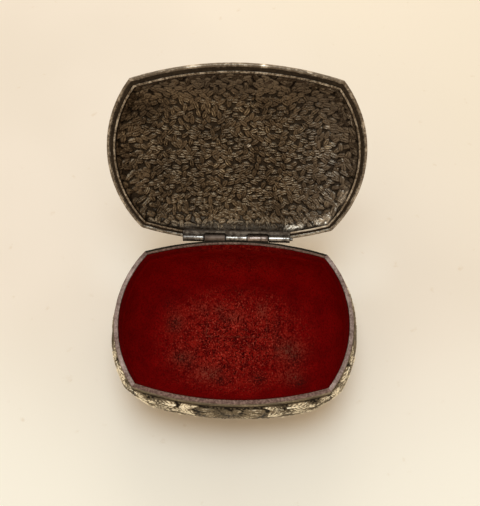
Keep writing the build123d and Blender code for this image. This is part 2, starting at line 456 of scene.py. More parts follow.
def wall_foliage(half_length, relief_height):
    """Foliage for one wall: x along it, y down from the shoulder to the foot."""
    art = Relief(half_length + 1.0, 15.0)
    top, middle = -belly_half, art.y.mean()

    # A fan of long ribs at the middle of the shoulder, with short ones over their feet
    for ribs, apart, reach, length, width, share, form in (
        (11, 0.29, 2.6, 7.6, 1.5, 0.95, (0.85, 0.2, 1.2, 0.9)),
        (5, 0.6, 0.7, 2.6, 1.3, 0.8, (0.5, 0.2, 0.8, 0.9)),
    ):
        for k in range(ribs):
            fan = math.pi / 2 + (k - ribs // 2) * apart
            x, y = reach * math.cos(fan), top + 0.9 + reach * math.sin(fan)
            art.leaf(x, y, length, width, fan, share * relief_height, *form)

    # On both sides of it: share of the half length, y, length, turn, bend, leaflets
    fronds = (
        (14.9 / long_half, top + 1.9, 5.2, 3.45, 0.1, 5),
        (16.2 / long_half, top + 1.5, 8.0, 0.02, 0.3, 6),
        (29.0 / long_half, top + 1.0, 5.0, 2.75, -0.2, 5),
        (0.36, top + 5.6, 7.0, -0.55, 0.7, 5),
        (0.60, top + 5.0, 6.2, -0.15, 0.9, 5),
        (0.97, top + 4.6, 7.4, 2.5, 0.8, 5),
        (0.72, middle - 1.0, 7.0, 0.6, -0.9, 5),
        (0.42, middle + 2.6, 7.2, 0.5, 0.8, 5),
        (0.95, middle + 4.0, 6.0, 2.2, -0.8, 5),
    )
    # Share of the half length, y, reach, first turn, last turn, width, leaves
    scrolls = (
        (0.52, middle - 2.6, 5.4, 2.6, -3.4, 1.6, 6),
        (0.24, middle + 5.6, 4.6, -2.2, 3.6, 1.5, 6),
        (0.80, middle + 6.2, 4.2, 2.9, -3.0, 1.4, 5),
    )
    for side in (-1, 1):
        def turned(angle):
            return angle if side > 0 else math.pi - angle

        for share, y, length, turn, bend, leaflets in fronds:
            x = side * half_length * share
            art.frond(x, y, length, turned(turn), side * bend, relief_height, leaflets)
        for share, y, reach, turn, last, width, leaves in scrolls:
            x = side * half_length * share
            art.scroll(x, y, reach, turned(turn), turned(last), width, relief_height, leaves)
        for k in range(3):
            x = side * half_length * (0.80 + 0.055 * k)
            art.bead(x, top + 10.8 + 1.4 * k, 0.7, relief_height * 0.8)

    # A row of leaves standing on the foot, beads between their tips
    leaves = round(half_length / 2.05)
    for k in range(-leaves, leaves + 1):
        foot_x = k * half_length / (leaves + 0.5)
        art.leaf(foot_x, 14.4, 4.6, 2.2, -math.pi / 2, relief_height * 0.8)
        art.bead(foot_x + half_length / (2 * leaves + 1), 12.4, 0.5, relief_height * 0.6)
    art.fill(81, 0.8 * relief_height)
    return art


relief_height, ground_depth, corner_pull, eased_from = 0.62, 0.22, 1.7, 0.78
casting_pits, casting_waves, mitre_fade, edge_fade = 0.07, 0.09, 0.02, 0.5
foliage = {
    "long": wall_foliage(long_half, relief_height),
    "end": wall_foliage(end_half, relief_height),
}

belly = curve(
    [
        (0, 26.3), (1.94, 22.12), (1.83, 17.39), (0.78, 12.77), (-1.4, 8.57), (-4.45, 4.95),
        (-8, 1.8),
    ],
    (1, -0.75),
    (-1, -0.8),
    116,
)
inside = curve(
    [
        (-10, 1.8), (-7.1, 5.39), (-4.27, 9.04), (-1.81, 12.95), (-0.26, 17.29), (-0.11, 21.89),
        (-1.4, 26.3),
    ],
    (0.8, 1),
    (-0.5, 1),
    26,
)
foot = divided(
    [(-8, 1.8), (-7.4, 0.9), (-7.32, 0.1), (-7.42, 0), (-8.8, 0), (-8.8, 1.8), (-10, 1.8)], 0.6
)
rim = divided(
    [
        (-1.4, 26.3), (-1.4, 29.82), (-1.36, 29.93), (-1.22, 30), (-0.16, 30), (-0.05, 29.95),
        (0, 29.84), (0, 29.02), (-0.06, 28.9), (-0.3, 28.6), (-0.3, 26.75), (-0.24, 26.5),
        (0, 26.3),
    ],
    0.3,
)
section = np.concatenate([belly[:-1], foot[:-1], inside[:-1], rim[:-1]])
belly_rows, rim_start = len(belly) - 1, len(belly) + len(foot) + len(inside) - 3
ahead, behind = np.roll(section, -1, 0), np.roll(section, 1, 0)
section_out = np.stack([-(ahead - behind)[:, 1], (ahead - behind)[:, 0]], 1)
section_out /= np.linalg.norm(section_out, axis=1)[:, None]
down_belly = np.linspace(0, 2 * belly_half, belly_rows) - belly_half
mitre_outer, mitre_inner = np.array(corner(0)), np.array(corner(-mitre_inset))

# The pin's line, the room for the knuckles, and the land for the fixed leaf
hinge_y, hinge_z, barrel_room, barrel_half = 27.65, 29.55, 1.35, 17.65
leaf_face, leaf_half, land_back, land_low, rim_flat = 26.45, 10.6, 25.7, 26.4, 29.9


def mitre_angle(radius, centre, axis):
    """Angle from a wall's middle at which its arc of this radius meets the mitre."""
    start = mitre_outer - centre
    along = (mitre_inner - mitre_outer) / np.linalg.norm(mitre_inner - mitre_outer)
    to = start @ along
    reach = -to - np.sqrt(np.maximum(to**2 - (start @ start - radius**2), 0))[:, None] * [[-1, 1]]
    meets = start + min_reach(reach)[:, None] * along
    return np.arctan2(meets[:, 1 - axis], meets[:, axis])


def min_reach(reach):
    """Of the two crossings, the one nearer to the outer corner."""
    pick = np.argmin(np.abs(reach), axis=1)
    return reach[np.arange(len(reach)), pick]


def quads(grid):
    """Faces between the neighbouring numbers in a grid of points."""
    a, b, c, d = grid[:-1, :-1], grid[:-1, 1:], grid[1:, 1:], grid[1:, :-1]
    return np.stack([a, b, c, d], -1).reshape(-1, 4).tolist()


def ring_faces(rows, columns, close_rows, close_columns):
    """Quads of a grid of points, closed over its ends where asked."""
    index = np.arange(rows * columns).reshape(rows, columns)
    if close_rows:
        index = np.concatenate([index, index[:1]])
    if close_columns:
        index = np.concatenate([index, index[:, :1]], axis=1)
    return quads(index)


def closed_mesh(name, points, faces):
    """A mesh with all its faces turned outward."""
    mesh = bpy.data.meshes.new(name)
    mesh.from_pydata(points.tolist(), [], faces)
    work = bmesh.new()
    work.from_mesh(mesh)
    bmesh.ops.recalc_face_normals(work, faces=work.faces)
    work.to_mesh(mesh)
    work.free()
    return mesh


def make_piece(name, node, points, faces, finish, body, stored, crease=38):
    """A closed mesh from points in millimetres, with its finish and values, in a node's place."""
    mesh = closed_mesh(name, points * MM, faces)
    mesh.shade_smooth()
    mesh.set_sharp_from_angle(angle=math.radians(crease))
    for key, values in stored.items():
        mesh.attributes.new(key, "FLOAT", "POINT").data.foreach_set(
            "value", np.ascontiguousarray(values, np.float32).ravel()
        )
    mesh.materials.append(finish.material)
    piece = added(name, mesh)
    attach(piece, body)
    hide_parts(node)
    return piece


def wall(name, kind, side, finish, seed):
    """One wall: its section swept along its arc and cut at the mitres."""
    if kind == "long":
        axis, columns, half = 1, 300, long_half
        radius, centre = long_radius, np.array([0, -long_centre])
    else:
        axis, columns, half = 0, 236, end_half
        radius, centre = end_radius, np.array([end_centre, 0])
    rows = len(section)
    share = np.linspace(-1, 1, columns)
    fade = np.clip((down_belly + belly_half) / edge_fade, 0, 1)
    fade = (fade * np.clip((belly_half - down_belly) / edge_fade, 0, 1))[:, None]
    rise, sunk = np.zeros((rows, columns)), np.zeros((rows, columns))
    rise[:belly_rows] = foliage[kind].at(*np.meshgrid(share * half, down_belly)) * fade
    sunk[:belly_rows] = ground_depth * fade
    rough = lumps((rows, columns), seed, 3) * casting_pits
    rough = rough + lumps((rows, columns), seed + 1, 60) * casting_waves
    rough[belly_rows:rim_start] = 0
    rough[rim_start:] *= 0.5
    moved = (rise + rough - sunk) * np.clip((1 - np.abs(share)) / mitre_fade, 0, 1)
    ease = np.clip((np.abs(share) - eased_from) / (1 - eased_from), 0, 1)
    pull = corner_pull * np.sin(np.pi * (down_belly + belly_half) / (2 * belly_half)) ** 0.7
    offset = section[:, :1] + moved * section_out[:, :1]
    offset[:belly_rows] -= pull[:, None] * ease**2 * (3 - 2 * ease)
    height = np.maximum(section[:, 1:] + moved * section_out[:, 1:], 0)
    limit = np.stack(
        [mitre_angle(radius + offset[:, k], centre, axis) for k in range(columns)], 1
    )
    along = (radius + offset) * np.sin(limit * share)
    out = centre[axis] + (radius + offset) * np.cos(limit * share)
    if name == "back_panel":
        on_land = (np.abs(along) < leaf_half) & (height > land_low) & (out > land_back)
        out = np.where(on_land & (height < rim_flat), leaf_face, out)
        room = np.clip(barrel_room**2 - (height - hinge_z) ** 2, 0, None)
        room = np.minimum(out, hinge_y - np.sqrt(room))
        out = np.where(np.abs(along) < barrel_half, room, out)
    points = np.stack([along, out] if axis else [out, along], -1)
    points[..., axis] *= side
    points = np.concatenate([points, height[..., None]], -1)
    faces = ring_faces(rows, columns, True, False)
    faces += [list(range(end, rows * columns, columns)) for end in (0, columns - 1)]
    shown_rise = rise / relief_height
    shown_rise[belly_rows:] = 0.4
    on_top = section[:, 1] > rim_flat
    on_rim = on_top & (section[:, 0] < (-0.8 if name == "back_panel" else -0.1))
    # Behind the hinge the rim's outer part gets the dark low-ground colour: painted shade under
    # the knuckles.
    if name == "back_panel":
        shown_rise[on_top & ~on_rim] = 0.02
    # Painted light: the end walls' rims take more of the lit rim colour than the front and back
    # rims.
    rim_lit_share = {"front_panel": 0.62, "back_panel": 0.5}.get(name, 0.92)
    stored = {"rise": shown_rise, "rim": np.repeat(on_rim * rim_lit_share, columns)}
    points, made_name = points.reshape(-1, 3), name.replace("panel", "wall")
    make_piece(made_name, name, points, faces, finish, "box", stored)


cast = Finish("tarnished_cast_metal", {"Metallic": 0.85, "Specular IOR Level": 0.4})
grime = cast.noise(6, detail=5.0)
fine = cast.noise(0.7, detail=4.0, rough=0.6)
cast_rise, cast_rim = cast.stored("rise"), cast.stored("rim")
# High points: rubbed bright metal, lightened almost to white as a painted highlight.
worn_and_highlit = (cast_rise + fine * 0.8 - 0.4 + grime * 0.7 - 0.35).band(0.48, 0.8)
# The rim in a shaded and a lit copy of its colour, each with its own mottle; the rim value picks
# how much of the lit one shows, as painted light.
shaded_dull_rim = cast.mix(fine.band(0.35, 0.7), paint(74, 51, 43), paint(126, 98, 87))
rubbed = (fine * 0.5 + grime * 0.6).band(0.38, 0.72)
lit_rubbed_rim = cast.mix(rubbed, paint(90, 69, 61), paint(162, 143, 135))
tarnish = (grime * 0.6 + fine * 0.4).band(0.36, 0.64)
metal = cast.mix(tarnish, paint(94, 83, 67), paint(150, 134, 110))
# Low ground between the foliage is darkened: tarnish in the hollows and painted shade.
metal = cast.layered(
    cast.mix(cast_rise.band(0.0, 0.32), paint(34, 26, 18), metal),
    (worn_and_highlit, paint(255, 242, 216)),
    (cast_rim.band(0.1, 0.5), cast.mix(cast_rim.band(0.5, 1.0), shaded_dull_rim, lit_rubbed_rim)),
)
cast.feed({
    "Base Color": metal,
    "Roughness": 0.56 - worn_and_highlit * 0.2 + fine * 0.15,
    "Normal": cast.bump(fine, 0.05),
})
for name, kind, side, seed in (
    ("front_panel", "long", -1, 11),
    ("back_panel", "long", 1, 21),
    ("left_panel", "end", -1, 31),
    ("right_panel", "end", 1, 41),
):
    wall(name, kind, side, cast, seed)


# Base plate and floor card
# A flat plate of the same white metal, let into the foot from below and soldered there, and
# the stiff grey card that lies on it and keeps the floor velvet flat.
plate = Finish("base_metal", {"Metallic": 0.85, "Specular IOR Level": 0.4})
cloud = plate.noise(9, detail=5.0)
scuff = plate.noise(1.2, detail=4.0, stretch=(0.25, 1, 1))
plate.feed({
    "Base Color": plate.mix(cloud.band(0.3, 0.7), paint(70, 60, 48), paint(128, 116, 100)),
    "Roughness": 0.42 + scuff * 0.25,
    "Normal": plate.bump(scuff, 0.04),
})
card = Finish("grey_card", {"Roughness": 0.9, "Specular IOR Level": 0.2})
pulp = card.noise(0.8, detail=4.0)
card.feed({
    "Base Color": card.mix(pulp, paint(120, 108, 92), paint(150, 138, 120)),
    "Normal": card.bump(pulp, 0.05),
})


def dress(name, finish):
    """Give a CAD piece its finish; its shape stays."""
    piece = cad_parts[name]
    piece.data.materials.clear()
    piece.data.materials.append(finish.material)


dress("base_plate", plate)
dress("floor_card", card)


# Lining
# Red velvet: one strip glued round the walls, its lower edge turned in over the floor, and a
# card floor covered in the same cloth, rubbed pale and fluffy in the middle by what it carried.
def outline(offset, long_steps, end_steps):
    """Points round the plan with its arcs grown by offset, from the front left corner."""
    x, y = corner(offset)
    long_arc, end_arc = long_radius + offset, end_radius + offset
    a = math.asin(x / long_arc) * np.linspace(-1, 1, long_steps + 1)[:-1]
    b = math.asin(y / end_arc) * np.linspace(-1, 1, end_steps + 1)[:-1]
    front = np.stack([long_arc * np.sin(a), long_centre - long_arc * np.cos(a)], 1)
    right = np.stack([end_centre + end_arc * np.cos(b), end_arc * np.sin(b)], 1)
    return np.concatenate([front, right, -front, -right])


def four_sides(ring, long_steps, end_steps):
    """A ring's front, right, back and left, each with both its corners, two by two alike."""
    half = long_steps + end_steps
    back = ring[half : half + long_steps + 1][::-1]
    left = np.concatenate([ring[half + long_steps :], ring[:1]])[::-1]
    return ring[: long_steps + 1], ring[long_steps : half + 1], back, left


def cap_points(edge, long_steps, end_steps):
    """Points inside an outline, spread between its four sides; the outline's own are left out."""
    front, right, back, left = four_sides(edge, long_steps, end_steps)
    u = np.linspace(0, 1, long_steps + 1)[None, :, None]
    v = np.linspace(0, 1, end_steps + 1)[:, None, None]
    flat = (
        (1 - v) * front[None] + v * back[None] + (1 - u) * left[:, None] + u * right[:, None]
        - (1 - u) * (1 - v) * front[0] - u * (1 - v) * front[-1]
        - (1 - u) * v * back[0] - u * v * back[-1]
    )
    return flat[1:-1, 1:-1].reshape(-1, flat.shape[-1])


def cap_faces(ring, first, long_steps, end_steps):
    """Quads that close a ring of point numbers with the points that cap_points gives."""
    grid = np.empty((end_steps + 1, long_steps + 1), int)
    sides = four_sides(np.asarray(ring), long_steps, end_steps)
    grid[0], grid[:, -1], grid[-1], grid[:, 0] = sides
    inner = (long_steps - 1) * (end_steps - 1)
    grid[1:-1, 1:-1] = first + np.arange(inner).reshape(end_steps - 1, long_steps - 1)
    return quads(grid)


velvet = Finish(
    "red_velvet",
    {
        "Roughness": 0.95,
        "Specular IOR Level": 0.03,
        "Sheen Weight": 0.2,
        "Sheen Roughness": 0.45,
        "Sheen Tint": paint(190, 6, 5),
    },
)
pile = velvet.noise(0.5, detail=4.0, rough=0.65, stretch=(1, 0.7, 1))
tuft = velvet.noise(0.55, detail=4.0, rough=0.7, stretch=(1, 0.8, 1))
mottle = velvet.noise(2.6, detail=5.0, rough=0.7)
nap = velvet.noise(7, detail=3.0).band(0.3, 0.7)
velvet_rub, velvet_height = velvet.stored("rub"), velvet.along(2)
# Painted light: the walls' back half is a brighter red above the floor, where the lid keeps light
# off them.
back_walls_painted_light = velvet.along(1).band(-0.004, 0.025) * velvet_height.band(0.006, 0.013)
# Painted shade: a darker red band just under the rim.
under_rim_painted_shade = velvet_height.band(0.0262, 0.0284)
rubbed = velvet_rub * velvet.noise(3.5, detail=4.0, rough=0.6).band(0.26, 0.5)
pile_colour = velvet.layered(
    velvet.mix(nap, paint(111, 3, 3), paint(130, 6, 5)),
    (back_walls_painted_light, velvet.mix(nap, paint(140, 4, 4), paint(158, 10, 8))),
    (under_rim_painted_shade * 0.75, paint(72, 2, 2)),
    ((rubbed * (0.5 + pile)).band(0.1, 0.95), paint(132, 17, 11)),
    (velvet_rub * mottle.band(0.47, 0.57), paint(156, 32, 22)),
    (velvet_rub * (1 - mottle.band(0.36, 0.5)) * 0.85, paint(72, 5, 6)),
    (rubbed * tuft.band(0.54, 0.64), paint(204, 82, 62)),
    ((1 - pile.band(0.38, 0.54)) * (0.42 + rubbed * 0.5), paint(36, 0, 0)),
    (velvet.stored("dust") * pile.band(0.44, 0.6), paint(128, 70, 52)),
    (velvet.stored("dirt") * (1 - tuft.band(0.44, 0.58)) * 0.85, paint(38, 18, 13)),
)
velvet.feed({"Base Color": pile_colour, "Normal": velvet.bump(pile, 0.25)})


def blots(plan, spots):
    """Soft round marks: x, y, half size across and up, strength."""
    marks = np.zeros(len(plan))
    for x, y, across, up, strength in spots:
        reach = ((plan[:, 0] - x) / across) ** 2 + ((plan[:, 1] - y) / up) ** 2
        marks = np.maximum(marks, strength * np.exp(-reach))
    return marks


def rub_at(x, y):
    """How far the velvet is rubbed there by what lay in the box."""
    return np.clip(1.3 - np.sqrt(((x + 0.8) / 22) ** 2 + ((y - 0.5) / 17) ** 2), 0, 1) ** 0.8


dust_spots = [
    (-17.6, -5.9, 3.4, 2.4, 0.6), (-8.8, -11.3, 4.2, 2.8, 0.7), (18.6, -2.6, 4.4, 3.4, 0.8),
    (-21, 7, 2.6, 3.4, 0.4), (19.4, -11.8, 3.4, 2.6, 0.5), (-1.0, 9.0, 3.4, 2.2, 0.5),
    (-6.4, 12.2, 2.4, 1.4, 0.5), (9.0, 11.5, 1.8, 2.4, 0.6), (-22.4, 3.9, 0.45, 0.45, 1.2),
    (20.7, -12.1, 0.6, 0.6, 1.2), (4.9, -1.3, 0.4, 0.6, 1.2), (-12, 12, 3, 2, 0.3),
]
dirt_spots = [
    (-22, 6.6, 2.4, 3.4, 0.9), (-18.6, -6, 3, 2.4, 0.8), (8.1, -12.7, 2.6, 2.2, 1.0),
    (20.8, -6, 3.2, 4.6, 0.8), (-4.5, -13.4, 3.0, 1.8, 0.8), (18, -1, 4, 2.4, 0.5),
    (21.7, -14.5, 3.4, 3.0, 0.9), (14.2, 4.8, 1.4, 6.0, 0.6), (-15.4, -8.1, 3.0, 2.4, 0.6),
    (-23.5, 12, 3, 4, 0.5),
]

# The wall strip's own line, from under the rim down and in over the floor
face = curve(
    [
        (-1.5, 29.78), (-2.15, 28.4), (-1.35, 21.9), (-1.5, 17.3), (-3.1, 12.9), (-6.1, 8.6),
        (-9.6, 5.7), (-13.4, 4.2), (-16.0, 3.75),
    ],
    (-0.5, -1),
    (-1, -0.06),
    64,
)
backing = curve(
    [
        (-10.3, 3.9), (-7.6, 5.2), (-4.5, 9.0), (-2.05, 12.95), (-0.5, 17.29), (-0.35, 21.89),
        (-1.55, 26.3),
    ],
    (0.8, 1),
    (-0.1, 1),
    14,
)
strip_section = np.concatenate([face, [(-16.0, 3.66)], backing, [(-1.46, 29.3)]])
strip_long, strip_end = 180, 126
strip_rings = np.stack([outline(offset, strip_long, strip_end) for offset, _ in strip_section])
strip_heights = np.repeat(strip_section[:, 1:], strip_rings.shape[1], 1)
strip_shift = lumps(strip_heights.shape, 51, 40) * 0.16 + lumps(strip_heights.shape, 52, 4) * 0.1
strip_shift[0] *= 0.4
strip_shift[len(face) :] = 0

# Lint caught under the rim: x, y, z, reach, strength
lint_spots = [
    (-31.4, 16.0, 26.0, 0.8, 1.2), (-1.6, 25.2, 27.5, 1.5, 0.6), (-3.4, 25.3, 28.6, 0.8, 0.5),
]
lint = np.zeros_like(strip_heights)
for x, y, z, reach, strength in lint_spots:
    away = (strip_rings[..., 0] - x) ** 2 + ((strip_rings[..., 1] - y) * 1.6) ** 2
    away = away + ((strip_heights - z) * 2.2) ** 2
    lint = np.maximum(lint, strength * np.exp(-away / (0.35 * reach**2)))
outwards = strip_rings / np.linalg.norm(strip_rings, axis=2)[..., None]
strip_rings = strip_rings - outwards * np.abs(strip_shift)[..., None]
strip_points = np.concatenate([strip_rings, strip_heights[..., None]], -1)
turned_in = np.clip((9.0 - strip_heights) / 3.0, 0, 1)
strip_rub = rub_at(strip_rings[..., 0], strip_rings[..., 1]) * turned_in
strip_rub = np.maximum(strip_rub, 0.25 * np.clip((7.0 - strip_heights) / 4.0, 0, 1))
strip_plan = strip_rings.reshape(-1, 2)
strip_dust = blots(strip_plan, dust_spots).reshape(turned_in.shape) * turned_in
strip_dirt = blots(strip_plan, dirt_spots).reshape(turned_in.shape) * turned_in
behind_rub = np.exp(-((strip_rings[..., 0] / 17) ** 2)) * np.clip((strip_heights - 9) / 6, 0, 1)
strip_rub = np.maximum(strip_rub, 0.35 * behind_rub * (strip_rings[..., 1] > 20))
wall_lining = make_piece(
    "wall_velvet",
    "wall_lining",
    strip_points.reshape(-1, 3),
    ring_faces(*strip_heights.shape, True, True),
    velvet,
    "box",
    {"rub": strip_rub, "dust": np.maximum(lint, strip_dust), "dirt": strip_dirt},
    crease=70,
)

floor_long, floor_end, floor_inset = 230, 150, -10.4
floor_top, floor_low, floor_edge_height = 3.6, 2.65, 3.45
floor_edge = outline(floor_inset, floor_long, floor_end)
floor_inner = cap_points(floor_edge, floor_long, floor_end)
top_plan = np.concatenate([floor_edge, floor_inner])
across, up = top_plan[:, 0], top_plan[:, 1]
grain = np.random.default_rng(61).standard_normal(len(top_plan))
crown = 0.35 * np.exp(-((across / 20) ** 2 + (up / 12) ** 2))

# Three sides of a square edge that was pressed into the pile
press = np.zeros(len(top_plan))
for from_line, run, start, end in (
    (up - 1.9, across, -10.5, 11.0), (across - 10.8, up, 1.7, 15), (across + 10.3, up, 1.7, 10)
):
    line = np.clip(1 - np.abs(from_line) / 0.4, 0, 1)
    press = np.maximum(press, line * (run > start) * (run < end))
top_height = floor_top + crown + 0.12 * grain - 0.08 * press
top_height[: len(floor_edge)] = floor_edge_height
under = np.column_stack([floor_edge, np.full(len(floor_edge), floor_low)])
floor_points = np.concatenate([np.column_stack([top_plan, top_height]), under])
ring_size, under_first = len(floor_edge), len(top_plan)
floor_faces = cap_faces(range(ring_size), ring_size, floor_long, floor_end)
for k in range(ring_size):
    following = (k + 1) % ring_size
    floor_faces.append([k, following, under_first + following, under_first + k])
floor_faces.append(list(range(under_first, under_first + ring_size)))
floor_marks = {
    "rub": rub_at(across, up),
    "dust": np.maximum(blots(top_plan, dust_spots), 0.6 * press),
    "dirt": blots(top_plan, dirt_spots),
}
floor_lining = make_piece(
    "floor_velvet",
    "floor_lining",
    floor_points,
    floor_faces,
    velvet,
    "box",
    {key: np.concatenate([values, np.zeros(ring_size)]) for key, values in floor_marks.items()},
    crease=70,
)


# Hinge
# Two strips of plated metal rolled round one pin into knuckles, and cut out for each other's.
# One is soldered to the land in the back wall, the other under the lid.
knuckle_length, hinge_left = 7.05, -17.625
leaf_colour, leaf_painted_highlight, hinge_dirt_and_shade = paint(92, 83, 76), paint(140, 133, 125), paint(30, 24, 20)


def hinge_finish(name, dull, bright, rough, shade, first_notch):
    """Rolled strip: drawn lines along the pin, tarnish, dirt in the joints, painted shade in the
    notches and below.
    """
    made = Finish(name, {"Metallic": 0.95, "Specular IOR Level": 0.5})
    drawn = made.noise(0.35, detail=3.0, stretch=(0.12, 1, 1))
    tarnish = made.noise(1.5, detail=4.0, rough=0.6)
    side, rise = made.along(1) - hinge_y * MM, made.along(2) - hinge_z * MM
    # Painted shade on the knuckles' lower front, under the pin.
    under = (-0.35 * MM - side).band(0, 0.0006) * (1 - rise.band(0.0006, 0.0011))
    reach = (side * side + rise * rise) ** 0.5
    flat = reach.band(0.00117, 0.00124)
    turn = (made.along(0) - hinge_left * MM) * (1 / (knuckle_length * MM))
    # Polished stretches of the knuckles: lower roughness, and a lighter colour as painted
    # highlight.
    worn_and_highlit = (turn.band(0.42, 0.6) * (1 - turn.band(0.9, 1.0))).most(turn.band(2.02, 2.3))
    worn_and_highlit = worn_and_highlit * (1 - flat) * (0.55 + tarnish).band(0.95, 1.1)
    dirt = (1 - turn.pingpong(0.5).band(0.01, 0.06)) * (1 - flat)
    # Painted shade in the notches beside the other strip's knuckles.
    notch = flat * (1 - (turn + (first_notch - 0.5)).pingpong(1).band(0.44, 0.5))
    notch = notch * (1 - reach.band(0.0017, 0.0019))
    # A lighter band along the leaf next to the knuckles: painted highlight.
    leaf = tarnish.band(0.4, 0.6) * (1 - reach.band(0.0022, 0.0026))
    knuckle = (tarnish * 0.7 + drawn * 0.3).band(0.36, 0.6) * (0.4 + worn_and_highlit * 0.6)
    colour = made.layered(
        dull,
        (knuckle, bright),
        (flat, made.mix(leaf, leaf_colour, leaf_painted_highlight)),
        ((dirt * 0.9).most(under * shade).most(notch * 0.95), hinge_dirt_and_shade),
    )
    made.feed({
        "Base Color": colour,
        "Roughness": rough + 0.34 - worn_and_highlit * 0.3 + tarnish * 0.08 + dirt * 0.3 + flat * 0.3,
        "Normal": made.bump(drawn, 0.02),
    })
    return made


for name, finish_name, dull, bright, rough, shade, first_notch in (
    ("body_hinge_leaf", "fixed_leaf_metal", (92, 79, 70), (150, 133, 122), 0.26, 0.1, 2),
    ("lid_hinge_leaf", "moving_leaf_metal", (84, 76, 70), (178, 169, 159), 0.02, 0.7, 1),
    ("hinge_pin", "pin_metal", (70, 62, 56), (150, 140, 130), 0.2, 0.2, 1),
):
    dress(name, hinge_finish(finish_name, paint(*dull), paint(*bright), rough, shade, first_notch))


# Lid
# One casting: a low dome over a beaded edge, with a channel between the bead and the lip that
# rests on the rim. Outside it carries foliage, inside the mould left it covered in small seeds.
open_angle = math.radians(124)
lid_back, lid_side = -math.cos(open_angle), math.sin(open_angle)
lid_long, lid_end = 252, 160
outer_dome = curve(
    [
        (1.6, 1.9), (0.16, 4.24), (-2.24, 5.64), (-4.82, 6.72), (-7.47, 7.59), (-10.21, 8.13),
        (-13, 8.3),
    ],
    (-0.25, 1),
    (-1, 0),
    44,
)[::-1]
hollow = curve(
    [
        (-0.05, 0.1), (-1.35, 2.43), (-3.25, 4.3), (-5.5, 5.7), (-7.94, 6.58), (-10.45, 6.99),
        (-13, 7.1),
    ],
    (-0.25, 1),
    (-1, 0),
    62,
)
bead_edge = divided(
    [
        (1.6, 1.9), (2.2, 1.9), (2.42, 1.82), (2.55, 1.68), (2.6, 1.45), (2.6, 0.55),
        (2.55, 0.32), (2.42, 0.18), (2.2, 0.1), (1.9, 0.1), (1.8, 0.17), (1.74, 0.42),
        (1.64, 0.5), (0.7, 0.5), (0.62, 0.42), (0.57, 0.17), (0.5, 0.1), (0.06, 0.1),
        (-0.02, 0.14), (-0.05, 0.1),
    ],
    0.22,
)
lid_section = np.concatenate([outer_dome[:-1], bead_edge[:-1], hollow])
lid_rings = np.stack([outline(offset, lid_long, lid_end) for offset, _ in lid_section])
ring_rows, ring_columns = lid_rings.shape[:2]
lid_heights = np.repeat(lid_section[:, 1:], ring_columns, 1)
outside_rows, edge_rows = len(outer_dome) - 1, len(bead_edge) - 1

# Under the back edge: the flat that the moving leaf is soldered to, and room for the knuckles
flat_front, flat_height, flat_rows = 25.2, 0.7, 14
under_side = slice(outside_rows + edge_rows // 3, outside_rows + edge_rows + flat_rows)
x, y = lid_rings[under_side, :, 0], lid_rings[under_side, :, 1]
seat_height = np.where((y > flat_front) & (y < hinge_y + 0.6), flat_height, 0)
round_room = np.sqrt(np.clip(barrel_room**2 - (y - hinge_y) ** 2, 0, None))
round_room = np.where(np.abs(y - hinge_y) < barrel_room, hinge_z - rim_height + round_room, 0)
seat_height = np.where(np.abs(x) < barrel_half, np.maximum(seat_height, round_room), -1)
lid_heights[under_side] = np.maximum(lid_heights[under_side], seat_height)
lid_points = np.concatenate([lid_rings, lid_heights[..., None]], -1).reshape(-1, 3)
top_ring, low_ring = lid_points[:ring_columns], lid_points[-ring_columns:]
top_cap, low_cap = (cap_points(ring, lid_long, lid_end) for ring in (top_ring, low_ring))
ring_count, cap_count = len(lid_points), len(top_cap)
lid_points = np.concatenate([lid_points, top_cap, low_cap])
lid_faces = ring_faces(ring_rows, ring_columns, False, True)
lid_faces += cap_faces(range(ring_columns), ring_count, lid_long, lid_end)
low_numbers = range(ring_count - ring_columns, ring_count)
lid_faces += cap_faces(low_numbers, ring_count + cap_count, lid_long, lid_end)

# Seeds inside: scattered so that none is too near another, and each turned away from those
# before it, over whose edges it is pressed
seed_gap, seed_length, seed_width, seed_height, seed_sink = 1.56, 2.9, 1.75, 0.8, 0.34
seed_tries, seed_x, seed_y = 34000, 37.4, 26.8
art_x, art_y = 39.0, 28.0
rng = np.random.default_rng(7)
tries = rng.uniform((-seed_x, -seed_y), (seed_x, seed_y), (seed_tries, 2))
cells, seeds = {}, []
for spot in tries:
    cell = tuple((spot // seed_gap).astype(int))
    near = [
        seeds[k]
        for i in (-1, 0, 1)
        for j in (-1, 0, 1)
        for k in cells.get((cell[0] + i, cell[1] + j), ())
    ]
    if all((spot[0] - n[0]) ** 2 + (spot[1] - n[1]) ** 2 > seed_gap**2 for n in near):
        cells.setdefault(cell, []).append(len(seeds))
        seeds.append(spot)
seeds = np.array(seeds)
inner_art = Relief(art_x, art_y)
turns = np.full(len(seeds), np.nan)
for k, spot in enumerate(seeds):
    near = np.flatnonzero((np.abs(seeds - spot) < 3.0).all(1) & ~np.isnan(turns))
    options = np.concatenate([rng.uniform(-0.75, 0.75, 8), rng.uniform(0, math.pi, 3)])
    cost = []
    for turn in options:
        tips = spot + np.outer((-1, 1), (math.cos(turn), math.sin(turn))) * seed_length * 0.42
        gap = 9.0
        for n in near:
            rod = np.array([math.cos(turns[n]), math.sin(turns[n])])
            for tip in tips:
                to = tip - seeds[n]
                slide = np.clip(to @ rod, -0.9, 0.9)
                gap = min(gap, math.hypot(*(to - slide * rod)))
        cost.append(-gap)
    turns[k] = options[int(np.argmin(cost))]
    turn, size = turns[k], rng.uniform(0.86, 1.14)
    foot = spot - np.array([math.cos(turn), math.sin(turn)]) * seed_length * size / 2
    raised = seed_height * rng.uniform(0.75, 1)
    inner_art.leaf(*foot, seed_length * size, seed_width, turn, raised, 0.5, 0.1, 0, 0.6, True)

